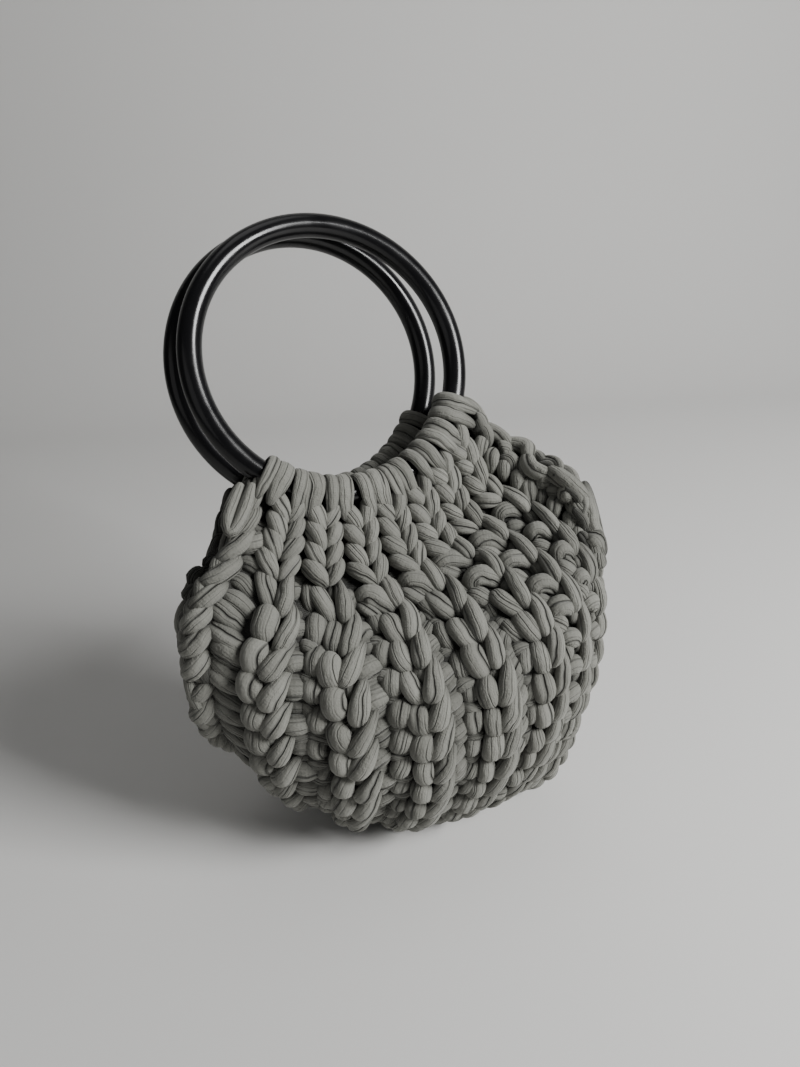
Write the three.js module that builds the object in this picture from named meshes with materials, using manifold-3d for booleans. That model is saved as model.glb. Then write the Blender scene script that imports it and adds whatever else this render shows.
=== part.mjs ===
// Crochet handbag with two round handles, in millimetres, +Z up, standing on z = 0.
// Each side is one thick ribbed wall that starts as a sleeve of loops round its ring,
// fans out over the belly and turns under to a seam in the middle of the base.
import * as THREE from 'three';
import { mergeVertices } from 'three/addons/utils/BufferGeometryUtils.js';
import Module from 'manifold-3d';

const wasm = await Module();
wasm.setup();

// Ring handles
const ringOuterDiameter = 150;
const ringBarDiameter = 12;
const ringSteps = 48;
const ringSides = 10;
const frontRingHeight = 250;
const ringClearance = 0.3;

// Sleeve of loops round each ring, its angles measured from the ring's lowest point
const sleeveDiameter = 21;
const sleeveCentreDeg = 8;
const sleeveHalfDeg = 55;
const sleeveOverhangDeg = 4;
const sleeveSteps = 20;
const sleeveSides = 8;

// Belly: the widest line round the body, low in front and behind, high at both sides
const bellyCentreX = 16;
const bellyCentreY = -54;
const bellyHalfWidth = 117;
const bellyFrontDepth = 62;
const bellyBackDepth = 48;
const bellySideHeight = 127;
const bellyRightDrop = 8;
const bellyMiddleDrop = 47;

// Base seam: the line under the bag where the two sides meet, lifted at its left end
const seamCentreX = 31;
const seamHalfLength = 54;
const seamCentreY = -38;
const seamSlew = -12;
const seamHeight = 5;
const seamLeftLift = 24;
const seamLiftPower = 4;
const seamSwingDeg = 70;

// Rib handles: how far each curve runs before it bends
const leaveRing = 30;
const dropFromBelly = 50;
const turnUnder = 38;
const baseSettle = 30;
const turnLeftRise = 30;

// Wall: plain inside, ribbed outside, rounded off at its seam edges
const ribsBesideMiddle = 4;
const wallInside = 5;
const wallOutside = 5.5;
const ribHeight = 3.5;
const ribsMergeFrom = 1.45;
const ribsMergeTo = 1.75;
const wallSink = 8;
const edgeRound = 0.0625;
const innerEdgeRound = 0.2;
const footRound = 0.1;
const edgeLeast = 0.12;
const edgeGap = 0.004;
const footGap = 0.008;
const sideClearance = 0.4;
const normalStep = 0.02;
const columnsPerRib = 4;
const rowsPerCurve = 8;

// Each ring's turn about the vertical, lean from upright and centre
const rings = {
  front: { turnDeg: 21, leanDeg: 30.5, x: 0, y: 0, z: frontRingHeight },
  back: { turnDeg: 24, leanDeg: 24.7, x: -11.7, y: 20.5, z: frontRingHeight - 9.6 },
};

// Each wall's middle rib and spread as angles round the belly, and the bend of that spread
const fans = {
  front: { middleDeg: 29, spreadDeg: 70, bendDeg: -10, drawIn: 0 },
  back: { middleDeg: -161, spreadDeg: -110, bendDeg: 0, drawIn: 21 },
};

// Each wall's push away from its ring's plane, its fall from the ring and its rise above the
// belly, both changing from left to right, and which way round its faces point
const walls = {
  front: { push: 21, fall: 50, fallChange: 0, rise: 79, riseChange: 0, facing: -1 },
  back: { push: -14, fall: 8, fallChange: -17, rise: 76, riseChange: 46, facing: 1 },
};

const ringRadius = (ringOuterDiameter - ringBarDiameter) / 2;
const barRadius = ringBarDiameter / 2;
const up = new THREE.Vector3(0, 0, 1);
const radians = THREE.MathUtils.degToRad;

// Centre and the right, upward and facing directions of a ring
function ringFrame(ring) {
  const turn = radians(ring.turnDeg);
  const lean = radians(ring.leanDeg);
  const level = new THREE.Vector3(Math.sin(turn), -Math.cos(turn), 0);
  return {
    centre: new THREE.Vector3(ring.x, ring.y, ring.z),
    right: new THREE.Vector3(Math.cos(turn), Math.sin(turn), 0),
    rise: up.clone().multiplyScalar(Math.cos(lean)).addScaledVector(level, -Math.sin(lean)),
    facing: level.clone().multiplyScalar(Math.cos(lean)).addScaledVector(up, Math.sin(lean)),
  };
}

// Unit direction from a ring's centre, at an angle from its lowest point
function spoke(frame, angle) {
  return new THREE.Vector3()
    .addScaledVector(frame.right, Math.sin(angle))
    .addScaledVector(frame.rise, -Math.cos(angle));
}

// Point on the belly line where a wall's rib crosses it, its angle round the body zero in front
function bellyPoint(side, s) {
  const fan = fans[side];
  const angle = radians(fan.middleDeg + fan.spreadDeg * s + fan.bendDeg * s * s);
  const depth = Math.cos(angle) > 0 ? bellyFrontDepth : bellyBackDepth;
  const halfWidth = bellyHalfWidth - fan.drawIn * (1 - s * s) * (1 - s);
  return new THREE.Vector3(
    bellyCentreX + halfWidth * Math.sin(angle),
    bellyCentreY - depth * Math.cos(angle),
    bellySideHeight - bellyRightDrop * Math.sin(angle) - bellyMiddleDrop * Math.cos(angle) ** 2,
  );
}

// Lift of the base towards the seam's left end, s from -1 there to 1 at its right end
function leftLift(s) {
  return Math.max(0, -s) ** seamLiftPower;
}

// Point on the base seam
function seamPoint(s) {
  return new THREE.Vector3(
    seamCentreX + seamHalfLength * s,
    seamCentreY + seamSlew * s,
    seamHeight + seamLeftLift * leftLift(s),
  );
}

// Direction in which a rib comes to the seam: square to it in the middle, nearly along it at its ends
function seamApproach(side, s) {
  const swing = radians(seamSwingDeg) * s;
  return new THREE.Vector3(Math.sin(swing), walls[side].facing * Math.cos(swing), 0);
}

// Two cubic curves end to end: ring to belly, and belly to base seam
function ribControls(side, s) {
  const wall = walls[side];
  const frame = ringFrame(rings[side]);
  const outFromRing = spoke(frame, radians(sleeveCentreDeg + sleeveHalfDeg * s));
  const start = frame.centre.clone().addScaledVector(outFromRing, ringRadius);
  const leave = start.clone()
    .addScaledVector(outFromRing, leaveRing)
    .addScaledVector(frame.facing, wall.push)
    .addScaledVector(up, -wall.fall - wall.fallChange * s);
  const belly = bellyPoint(side, s);
  const seam = seamPoint(s);
  const settle = turnLeftRise * leftLift(s) - baseSettle * (1 - leftLift(s));
  return [
    start,
    leave,
    belly.clone().addScaledVector(up, wall.rise + wall.riseChange * s),
    belly,
    belly.clone().addScaledVector(up, -dropFromBelly),
    seam.clone().addScaledVector(seamApproach(side, s), turnUnder).addScaledVector(up, settle),
    seam,
  ];
}

// Point on the middle of a wall: s runs across the ribs, t from 0 at the ring to 2 at the seam
function wallPoint(side, s, t) {
  const controls = ribControls(side, s);
  const first = t < 1 ? 0 : 3;
  const v = t < 1 ? t : t - 1;
  const u = 1 - v;
  return new THREE.Vector3()
    .addScaledVector(controls[first], u ** 3)
    .addScaledVector(controls[first + 1], 3 * u * u * v)
    .addScaledVector(controls[first + 2], 3 * u * v * v)
    .addScaledVector(controls[first + 3], v ** 3);
}

// Outward direction of a wall, from two short steps on it, kept off its borders
function wallNormal(side, s, t) {
  const inS = THREE.MathUtils.clamp(s, normalStep - 1, 1 - normalStep);
  const inT = THREE.MathUtils.clamp(t, normalStep, 2 - normalStep);
  const sideways = wallPoint(side, inS + normalStep, inT).sub(wallPoint(side, inS - normalStep, inT));
  const along = wallPoint(side, inS, inT + normalStep).sub(wallPoint(side, inS, inT - normalStep));
  return sideways.cross(along).multiplyScalar(walls[side].facing).normalize();
}

// Quarter-round profile: 0 at the edge, 1 from the far end of the round onwards
function rounded(distance, length) {
  const rest = 1 - Math.min(1, distance / length);
  return Math.sqrt(1 - rest * rest);
}

// Outer and inner point of a wall, which lies inside its rib lines once it has left the ring;
// the ribs run together under the base, which is pressed flat where it would pass the floor
function wallSkins(side, s, t, extra) {
  const fromEdge = Math.max(edgeGap, 1 - Math.abs(s));
  const fromFoot = Math.max(footGap, 2 - t);
  const foot = rounded(fromFoot, footRound);
  const fullness = edgeLeast + (1 - edgeLeast) * rounded(fromEdge, edgeRound) * foot;
  const innerFullness = edgeLeast + (1 - edgeLeast) * Math.min(1, fromEdge / innerEdgeRound) * foot;
  const merge = THREE.MathUtils.smoothstep(t, ribsMergeFrom, ribsMergeTo);
  const ridge = THREE.MathUtils.lerp(Math.cos(2 * Math.PI * ribsBesideMiddle * s), 1, merge);
  const middle = wallPoint(side, s, t);
  const normal = wallNormal(side, s, t);
  const sink = wallSink * Math.sin((Math.PI / 2) * Math.min(1, t));
  const outside = fullness * (wallOutside + ribHeight * ridge - sink) + extra;
  const inside = innerFullness * (wallInside + sink) + extra;
  const outer = middle.clone().addScaledVector(normal, outside);
  const inner = middle.clone().addScaledVector(normal, -inside);
  outer.z = Math.max(-extra, outer.z);
  return { outer, inner };
}

// Places across a wall: even between the edges, closer in each edge's round
function wallColumns(gap) {
  const half = ribsBesideMiddle * columnsPerRib - 1;
  const even = Array.from({ length: 2 * half + 1 }, (_, i) => (i - half) / (half + 1));
  const edge = [1 - edgeRound * 0.5, 1 - edgeRound * 0.15, 1 - gap];
  return [...edge.map((s) => -s).reverse(), ...even, ...edge];
}

// Places along a wall: even from the ring, closer in the round at the seam
function wallRows(gap) {
  const even = Array.from({ length: 2 * rowsPerCurve }, (_, i) => i / rowsPerCurve);
  return [...even, 2 - footRound * 0.5, 2 - footRound * 0.15, 2 - gap];
}

// Closed shell of a wall, both faces moved out by the given amount: two grids of points
// joined round their border
function wallGeometry(side, extra) {
  const reach = extra > 0 ? -1 : 1;
  const columns = wallColumns(reach * edgeGap);
  const rows = wallRows(reach * footGap);
  const positions = [];
  const outerIndex = (i, j) => 2 * (i * rows.length + j);
  const innerIndex = (i, j) => outerIndex(i, j) + 1;
  for (const s of columns) {
    for (const t of rows) {
      const { outer, inner } = wallSkins(side, s, t, extra);
      positions.push(...outer.toArray(), ...inner.toArray());
    }
  }
  const triangles = [];
  const quad = (a, b, c, d) => {
    const corners = walls[side].facing > 0 ? [a, b, c, a, c, d] : [a, c, b, a, d, c];
    triangles.push(...corners);
  };
  const lastColumn = columns.length - 1;
  const lastRow = rows.length - 1;
  for (let i = 0; i < lastColumn; i += 1) {
    for (let j = 0; j < lastRow; j += 1) {
      quad(outerIndex(i, j), outerIndex(i + 1, j), outerIndex(i + 1, j + 1), outerIndex(i, j + 1));
      quad(innerIndex(i, j), innerIndex(i, j + 1), innerIndex(i + 1, j + 1), innerIndex(i + 1, j));
    }
    quad(outerIndex(i + 1, 0), outerIndex(i, 0), innerIndex(i, 0), innerIndex(i + 1, 0));
    const k = i + 1;
    quad(outerIndex(i, lastRow), outerIndex(k, lastRow), innerIndex(k, lastRow), innerIndex(i, lastRow));
  }
  for (let j = 0; j < lastRow; j += 1) {
    const k = j + 1;
    const last = lastColumn;
    quad(outerIndex(0, j), outerIndex(0, k), innerIndex(0, k), innerIndex(0, j));
    quad(outerIndex(last, k), outerIndex(last, j), innerIndex(last, j), innerIndex(last, k));
  }
  const geometry = new THREE.BufferGeometry();
  geometry.setAttribute('position', new THREE.Float32BufferAttribute(positions, 3));
  geometry.setIndex(triangles);
  return geometry;
}

// Round tube along the part of a ring that the loops cover
function sleeveGeometry(side) {
  const frame = ringFrame(rings[side]);
  const points = [];
  const half = sleeveHalfDeg + sleeveOverhangDeg;
  for (let i = 0; i <= sleeveSteps; i += 1) {
    const angle = radians(sleeveCentreDeg - half + (2 * half * i) / sleeveSteps);
    points.push(frame.centre.clone().addScaledVector(spoke(frame, angle), ringRadius));
  }
  const section = new THREE.Shape();
  section.absarc(0, 0, sleeveDiameter / 2, 0, 2 * Math.PI);
  return new THREE.ExtrudeGeometry(section, {
    steps: sleeveSteps,
    curveSegments: sleeveSides,
    extrudePath: new THREE.CatmullRomCurve3(points),
    bevelEnabled: false,
  });
}

// Turned and placed ring, its bar thicker by the given amount
function ringGeometry(side, extra) {
  const frame = ringFrame(rings[side]);
  const geometry = new THREE.TorusGeometry(ringRadius, barRadius + extra, ringSides, ringSteps);
  const placing = new THREE.Matrix4().makeBasis(frame.right, frame.rise, frame.facing);
  return geometry.applyMatrix4(placing.setPosition(frame.centre));
}

// Solid for joining and cutting, from a closed geometry
function solid(geometry) {
  const bare = new THREE.BufferGeometry();
  bare.setAttribute('position', geometry.getAttribute('position'));
  bare.setIndex(geometry.getIndex());
  const merged = mergeVertices(bare, 1e-3);
  return new wasm.Manifold(new wasm.Mesh({
    numProp: 3,
    vertProperties: new Float32Array(merged.getAttribute('position').array),
    triVerts: new Uint32Array(merged.getIndex().array),
  }));
}

// Crocheted side: wall joined to its sleeve, with the ring's passage cut through
function sideSolid(side) {
  const joined = solid(wallGeometry(side, 0)).add(solid(sleeveGeometry(side)));
  return joined.subtract(solid(ringGeometry(side, ringClearance)));
}

// Back side trimmed where it folds against the front one, its largest piece kept
function trimmedBack() {
  const trimmed = sideSolid('back').subtract(solid(wallGeometry('front', sideClearance)));
  return trimmed.decompose().sort((a, b) => b.volume() - a.volume())[0];
}

// Drawable geometry of a solid
function geometryOf(body) {
  const mesh = body.getMesh();
  const geometry = new THREE.BufferGeometry();
  geometry.setAttribute('position', new THREE.Float32BufferAttribute(mesh.vertProperties, 3));
  geometry.setIndex(Array.from(mesh.triVerts));
  return geometry;
}

const yarn = new THREE.MeshStandardMaterial({ color: 0x83837c, roughness: 0.95, metalness: 0 });
const gloss = new THREE.MeshStandardMaterial({ color: 0x0b0b0c, roughness: 0.25, metalness: 0 });

const group = new THREE.Group();
const sides = { front: sideSolid('front'), back: trimmedBack() };
for (const side of ['front', 'back']) {
  const ring = new THREE.Mesh(ringGeometry(side, 0), gloss.clone());
  ring.name = `handle_ring_${side}`;
  const panel = new THREE.Mesh(geometryOf(sides[side]), yarn.clone());
  panel.name = `${side}_panel`;
  group.add(ring, panel);
}

// The origin is under the middle of the bag
const middle = new THREE.Box3().setFromObject(group).getCenter(new THREE.Vector3());
group.position.set(-middle.x, -middle.y, 0);

export default group;
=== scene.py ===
import math
from functools import partial

import bpy
import numpy as np
from mathutils import Matrix, Vector


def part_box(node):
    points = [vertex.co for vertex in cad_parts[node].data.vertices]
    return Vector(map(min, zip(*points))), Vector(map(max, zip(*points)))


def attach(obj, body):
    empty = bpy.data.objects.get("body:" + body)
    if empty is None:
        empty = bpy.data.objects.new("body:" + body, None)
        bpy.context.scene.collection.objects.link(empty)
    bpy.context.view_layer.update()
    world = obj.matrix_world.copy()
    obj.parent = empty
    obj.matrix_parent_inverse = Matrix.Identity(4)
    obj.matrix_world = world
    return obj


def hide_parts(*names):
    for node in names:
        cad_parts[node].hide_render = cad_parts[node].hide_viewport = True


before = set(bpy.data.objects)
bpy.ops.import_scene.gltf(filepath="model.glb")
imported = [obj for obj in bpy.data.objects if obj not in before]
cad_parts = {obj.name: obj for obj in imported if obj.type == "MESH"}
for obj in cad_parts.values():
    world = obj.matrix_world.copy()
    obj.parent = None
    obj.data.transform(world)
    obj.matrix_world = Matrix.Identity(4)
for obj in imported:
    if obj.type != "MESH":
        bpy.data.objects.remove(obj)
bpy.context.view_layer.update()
print("frame loaded:", sorted(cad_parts))

mm = 0.001
up = np.array([0.0, 0.0, 1.0])
nearby = 0.02  # short step in s or t on a wall, for directions and distances
ribSamples = 321  # points along a rib for measuring its length
edgeRib = 4  # ribs count from minus this at a panel's left edge to this at its right edge
floorGap = 0.0004  # lowest place of any piece, in metres
seeds = {"front": 11, "back": 29}

# How each ring stands: turn about the vertical, lean from upright, place from the front ring's middle
ringPose = {
    "front": {"turnDeg": 21.0, "leanDeg": 30.5, "offset": (0.0, 0.0, 0.0)},
    "back": {"turnDeg": 24.0, "leanDeg": 24.7, "offset": (-11.7, 20.5, -9.6)},
}

ringSize = {"radius": 69.0, "bar": 6.0, "height": 250.0, "steps": 144, "sides": 28, "uvLength": 43.0}

# The point on the floor under the front ring's middle, in the frame's metres
lowRing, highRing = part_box("handle_ring_front")
underRing = (np.array(lowRing) + np.array(highRing)) / 2 - up * ringSize["height"] * mm

# Body of the bag, in millimetres from the point under the front ring's middle
bagShape = {
    "loopCentreDeg": 8.0, "loopHalfDeg": 55.0, "leaveRing": 30.0,
    "bellyX": 16.0, "bellyY": -54.0, "bellyHalfWidth": 117.0, "bellyFront": 62.0, "bellyBack": 48.0,
    "bellySide": 127.0, "bellyRightDrop": 8.0, "bellyMiddleDrop": 47.0, "dropFromBelly": 50.0,
    "seamX": 31.0, "seamHalf": 54.0, "seamY": -38.0, "seamSlew": -12.0, "seamHeight": 5.0,
    "seamLeftLift": 24.0, "seamLiftPower": 4, "seamSwingDeg": 70.0,
    "turnUnder": 38.0, "baseSettle": 30.0, "turnLeftRise": 30.0,
    "wallInside": 5.0, "ridgeTop": 9.0, "wallSink": 8.0,
}

# What each panel does in its own way: angles and sizes of its belly, and how its ribs leave the ring
sideShape = {
    "front": {"middleDeg": 29.0, "spreadDeg": 70.0, "bendDeg": -10.0, "drawIn": 0.0, "push": 21.0,
              "fall": 50.0, "fallChange": 0.0, "rise": 79.0, "riseChange": 0.0, "facing": -1.0},
    "back": {"middleDeg": -161.0, "spreadDeg": -110.0, "bendDeg": 0.0, "drawIn": 21.0, "push": -14.0,
             "fall": 8.0, "fallChange": -17.0, "rise": 76.0, "riseChange": 46.0, "facing": 1.0},
}

# The back's loose right edge hangs lower beside the ring, then stands up into a corner over the belly
backEdge = {"from": 0.4, "sag": 16.0, "sagAt": 0.44, "sagOver": 0.16,
            "lift": 4.0, "liftAt": 0.73, "liftOver": 0.09}

# The left end of the back wall doubles over, so that wall's outward side is the one away from the bag's
# middle, and low down, short of the left end, also the lower one
backOutside = {"middle": (12.0, -48.0, 0.0), "lowFrom": 100.0, "lowShare": 2.5,
               "leftAt": -0.92, "leftOver": 0.12}


# Vectors of length one; the tiny length added keeps a vector of no length from a division by nought
def unit(vectors):
    return vectors / (np.linalg.norm(vectors, axis=-1, keepdims=True) + 1e-9)


# Share from nought to one that changes slowly at both ends
def eased(share):
    share = np.clip(share, 0, 1)
    return share * share * (3 - 2 * share)


# Quarter circle that rises from nought to one
def quarterRound(share):
    return np.sqrt(1 - (1 - np.clip(share, 0, 1)) ** 2)


# A ring's middle, and its right, upward and facing directions, in millimetres
def ringAxes(side):
    pose = ringPose[side]
    turn = math.radians(pose["turnDeg"])
    lean = math.radians(pose["leanDeg"])
    level = np.array([math.sin(turn), -math.cos(turn), 0.0])
    right = np.array([math.cos(turn), math.sin(turn), 0.0])
    rise = up * math.cos(lean) - level * math.sin(lean)
    facing = level * math.cos(lean) + up * math.sin(lean)
    middle = np.array(pose["offset"]) + up * ringSize["height"]
    return middle, right, rise, facing


# Direction from a ring's middle at an angle from its lowest point: right times sine less rise times cosine
def spoke(side, angle):
    _, right, rise, _ = ringAxes(side)
    return right * np.sin(angle)[..., None] - rise * np.cos(angle)[..., None]


# Rib s of a wall is two cubic curves end to end, ring to belly for t from 0 to 1 and belly to base seam for t
# from 1 to 2; the belly is an ellipse seen from above that dips in the middle, and the seam a straight line
# lifted at its left end
def wallPoint(side, s, t):
    b = bagShape
    w = sideShape[side]
    s, t = np.broadcast_arrays(np.asarray(s, float), np.asarray(t, float))
    middle, _, _, facing = ringAxes(side)
    outward = spoke(side, np.radians(b["loopCentreDeg"] + b["loopHalfDeg"] * s))
    start = middle + ringSize["radius"] * outward
    leave = start + b["leaveRing"] * outward + w["push"] * facing
    leave = leave - up * (w["fall"] + w["fallChange"] * s)[..., None]
    angle = np.radians(w["middleDeg"] + w["spreadDeg"] * s + w["bendDeg"] * s * s)
    depth = np.where(np.cos(angle) > 0, b["bellyFront"], b["bellyBack"])
    halfWidth = b["bellyHalfWidth"] - w["drawIn"] * (1 - s * s) * (1 - s)
    belly = np.stack([
        b["bellyX"] + halfWidth * np.sin(angle),
        b["bellyY"] - depth * np.cos(angle),
        b["bellySide"] - b["bellyRightDrop"] * np.sin(angle) - b["bellyMiddleDrop"] * np.cos(angle) ** 2,
    ], -1)
    lift = np.maximum(0, -s) ** b["seamLiftPower"]
    seam = np.stack([
        b["seamX"] + b["seamHalf"] * s,
        b["seamY"] + b["seamSlew"] * s,
        b["seamHeight"] + b["seamLeftLift"] * lift,
    ], -1)
    swing = np.radians(b["seamSwingDeg"]) * s
    approach = np.stack([
        b["turnUnder"] * np.sin(swing),
        b["turnUnder"] * w["facing"] * np.cos(swing),
        b["turnLeftRise"] * lift - b["baseSettle"] * (1 - lift),
    ], -1)
    above = belly + up * (w["rise"] + w["riseChange"] * s)[..., None]
    below = belly - up * b["dropFromBelly"]
    upper = (t < 1)[..., None]
    v = np.where(t < 1, t, t - 1)[..., None]
    u = 1 - v
    p0 = np.where(upper, start, belly)
    p1 = np.where(upper, leave, below)
    p2 = np.where(upper, above, seam + approach)
    p3 = np.where(upper, belly, seam)
    point = p0 * u ** 3 + 3 * p1 * u * u * v + 3 * p2 * u * v * v + p3 * v ** 3
    if side == "back":
        e = backEdge
        sag = e["sag"] * np.exp(-((t - e["sagAt"]) / e["sagOver"]) ** 2)
        corner = e["lift"] * np.exp(-((t - e["liftAt"]) / e["liftOver"]) ** 2)
        share = eased((s - e["from"]) / (1 - e["from"]))
        point = point + up * (share * (corner - sag))[..., None]
    return point


# Outward direction of a wall: cross product of two short steps on it, kept off its borders
def wallNormal(side, s, t):
    s = np.clip(s, nearby - 1, 1 - nearby)
    t = np.clip(t, nearby, 2 - nearby)
    across = wallPoint(side, s + nearby, t) - wallPoint(side, s - nearby, t)
    along = wallPoint(side, s, t + nearby) - wallPoint(side, s, t - nearby)
    normal = np.cross(across, along) * sideShape[side]["facing"]
    if side == "back":
        b = backOutside
        point = wallPoint(side, s, t)
        out = point - np.array(b["middle"])
        low = b["lowShare"] * np.minimum(0, point[..., 2] - b["lowFrom"])
        out[..., 2] = low * np.clip((s - b["leftAt"]) / b["leftOver"], 0, 1)
        normal = normal * np.where((normal * out).sum(-1, keepdims=True) < 0, -1.0, 1.0)
    return unit(normal)


# How far the wall lies under its own line: nothing at the ring, growing as a sine to the belly
def wallSink(t):
    return bagShape["wallSink"] * np.sin(np.pi / 2 * np.clip(t, 0, 1))


# Height of a rib's top over its line: proud beside the ring, almost level with it from the belly on
def ridgeTop(t):
    return bagShape["ridgeTop"] - wallSink(t)


# Length run along rib s at many values of t, for finding t from a length
def ribLengths(side, s):
    t = np.linspace(0, 2, ribSamples)
    line = wallPoint(side, np.full_like(t, s), t)
    steps = np.linalg.norm(np.diff(line, axis=0), axis=1)
    return t, np.concatenate([[0], np.cumsum(steps)])


# Local distance between neighbouring ribs, from two points a little to each side
def ribPitch(side, s, t):
    s = np.clip(s, nearby - 1, 1 - nearby)
    across = wallPoint(side, s + nearby, t) - wallPoint(side, s - nearby, t)
    return np.linalg.norm(across, axis=-1) / (2 * nearby * edgeRib)


# Millimetres from under the front ring to metres in the frame, nothing lower than the floor
def toFrame(points):
    placed = points * mm + underRing
    placed[..., 2] = np.maximum(placed[..., 2], floorGap)
    return placed


# Mesh object with its vertices, faces, corner UVs and point attributes put in as whole arrays
def meshPiece(name, points, faces, cornerUv, attributes, material):
    mesh = bpy.data.meshes.new(name)
    mesh.from_pydata(toFrame(points).reshape(-1, 3).tolist(), [], faces)
    layer = mesh.uv_layers.new(name="strandUv")
    layer.data.foreach_set("uv", cornerUv.astype(np.float32).ravel())
    for key, values in attributes.items():
        attribute = mesh.attributes.new(key, "FLOAT", "POINT")
        attribute.data.foreach_set("value", values.astype(np.float32).ravel())
    mesh.polygons.foreach_set("use_smooth", np.ones(len(faces), bool))
    mesh.materials.append(material)
    mesh.update()
    piece = bpy.data.objects.new(name, mesh)
    bpy.context.scene.collection.objects.link(piece)
    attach(piece, "root")
    print(name, len(faces), "faces")
    return piece


# UVs of all face corners, from one pair of U and V arrays for each corner of a face
def cornerStack(*corners):
    pairs = [np.stack(np.broadcast_arrays(u, v), -1) for u, v in corners]
    return np.stack(pairs, -2).reshape(-1, 2)


strandEnds = {"cap": 0.55, "capU": 0.2}  # how far the end points stand out, in half heights and in U


# Yarn strands as tubes: an oval of the given half width and half height carried along each centre line and
# closed by a point at both ends; all strands of a piece have the same number of rings and sides. Levels are
# heights of the centre lines over the ridge tops, from which the yarn's colour takes painted shade deep
# between strands
def strandPiece(name, strands, tones, material, sides):
    centres, normals, halfWidths, halfHeights, levels = strands
    count, rings = centres.shape[:2]
    ends = [0, -1]
    tangents = unit(np.gradient(centres, axis=1))
    across = unit(np.cross(tangents, normals))
    raised = np.cross(across, tangents)
    turn = np.arange(sides) / sides * 2 * np.pi
    tube = (
        centres[:, :, None]
        + (halfWidths[..., None] * np.cos(turn))[..., None] * across[:, :, None]
        + (halfHeights[..., None] * np.sin(turn))[..., None] * raised[:, :, None]
    )
    cap = strandEnds["cap"] * halfHeights[:, ends, None] * tangents[:, ends] * np.array([-1.0, 1.0])[:, None]
    points = np.concatenate([tube.reshape(count, -1, 3), centres[:, ends] + cap], 1)
    # Shade levels of the tube's points: the lower they lie, the darker the yarn's colour is painted, as shade
    tubeShadeLevels = levels[..., None] + halfHeights[..., None] * np.sin(turn)
    allShadeLevels = np.concatenate([tubeShadeLevels.reshape(count, -1), levels[:, ends]], 1)
    perStrand = rings * sides + 2
    base = (np.arange(count) * perStrand)[:, None, None]
    row = base + np.arange(rings - 1)[None, :, None] * sides
    column = np.arange(sides)[None, None, :]
    after = (column + 1) % sides
    quads = np.stack([row + column, row + sides + column, row + sides + after, row + after], -1)
    first = base + column
    nextFirst = base + after
    toLast = (rings - 1) * sides
    startTip = np.broadcast_to(base + rings * sides, first.shape)
    startFan = np.stack([startTip, first, nextFirst], -1)
    endFan = np.stack([startTip + 1, nextFirst + toLast, first + toLast], -1)
    faces = [face for part in (quads.reshape(-1, 4), startFan.reshape(-1, 3), endFan.reshape(-1, 3))
             for face in part.tolist()]
    # U is centimetres along the strand, V goes once round it
    steps = np.linalg.norm(np.diff(centres, axis=1), axis=-1)
    run = np.concatenate([np.zeros((count, 1)), np.cumsum(steps, axis=1)], 1)[..., None] / 10
    u0, u1 = run[:, :-1], run[:, 1:]
    v0, v1 = column / sides, (column + 1) / sides
    start, end = run[:, :1], run[:, -1:]
    cornerUv = np.concatenate([
        cornerStack((u0, v0), (u1, v0), (u1, v1), (u0, v1)),
        cornerStack((start - strandEnds["capU"], v0), (start, v0), (start, v1)),
        cornerStack((end + strandEnds["capU"], v0), (end, v1), (end, v0)),
    ])
    attributes = {"strandTone": np.repeat(tones, perStrand), "shadeLevel": allShadeLevels}
    piece = meshPiece(name, points, faces, cornerUv, attributes, material)
    soften = piece.modifiers.new("soften", "SUBSURF")
    soften.levels = 1
    soften.render_levels = 1


# Sideways drift of the front ribs from their even places, in rib widths: each is drawn left where the neck
# ends, more so on the right; below that the others flare right, and the right-hand ones stay a little left
ribDrift = {
    "neck": 0.12, "neckRight": 0.24, "neckAt": 38.0, "neckOver": 18.0, "fullRib": 2,
    "flare": 0.12, "flareAt": 66.0, "flareOver": 14.0, "rest": 0.17, "restFrom": 45.0, "restOver": 35.0,
}


def driftAcross(side, rib, run):
    if side == "back" or abs(rib) == edgeRib:
        return np.zeros_like(run)
    d = ribDrift
    neck = d["neck"] + d["neckRight"] * np.clip(rib / d["fullRib"], 0, 1)
    flare = d["flare"] if rib < d["fullRib"] else 0.0
    rest = d["rest"] * np.clip(rib + 1 - d["fullRib"], 0, 1)
    drawn = neck * np.exp(-((run - d["neckAt"]) / d["neckOver"]) ** 2)
    spread = flare * np.exp(-((run - d["flareAt"]) / d["flareOver"]) ** 2)
    return spread - drawn - rest * eased((run - d["restFrom"]) / d["restOver"])


# Weights of a cubic curve's four control points, at even steps along it
def cubicWeights(rings):
    v = np.linspace(0, 1, rings)
    u = 1 - v
    return np.stack([u ** 3, 3 * u * u * v, 3 * u * v * v, v ** 3])


# Centre lines on a wall from four control points each (rib, length along it, height): a cubic through them in
# those terms, then put on the wall; height counts from the ridge's top
def wallLines(side, rib, across, along, height, rings):
    weights = cubicWeights(rings)
    run = along @ weights
    level = height @ weights
    t, lengths = ribLengths(side, rib / edgeRib)
    place = np.interp(run, lengths, t)
    s = (rib + across @ weights + driftAcross(side, rib, run)) / edgeRib
    normal = wallNormal(side, s, place)
    return wallPoint(side, s, place) + (level + ridgeTop(place))[..., None] * normal, normal, level


# Thickness of a strand from its top to its foot, as shares of its full size
spear = (0.26, 0.46, 0.70, 0.92, 1.04, 1.02, 0.70)
loop = (0.66, 0.94, 1.02, 1.00, 1.02, 0.96, 0.66)
leaf = (0.58, 0.90, 1.02, 1.04, 1.00, 0.88, 0.56)
lump = (0.72, 1.00, 1.06, 1.00, 0.72)


strandProud = 1.0  # millimetres by which a strand at height nought stands over the ridge's top


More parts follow.
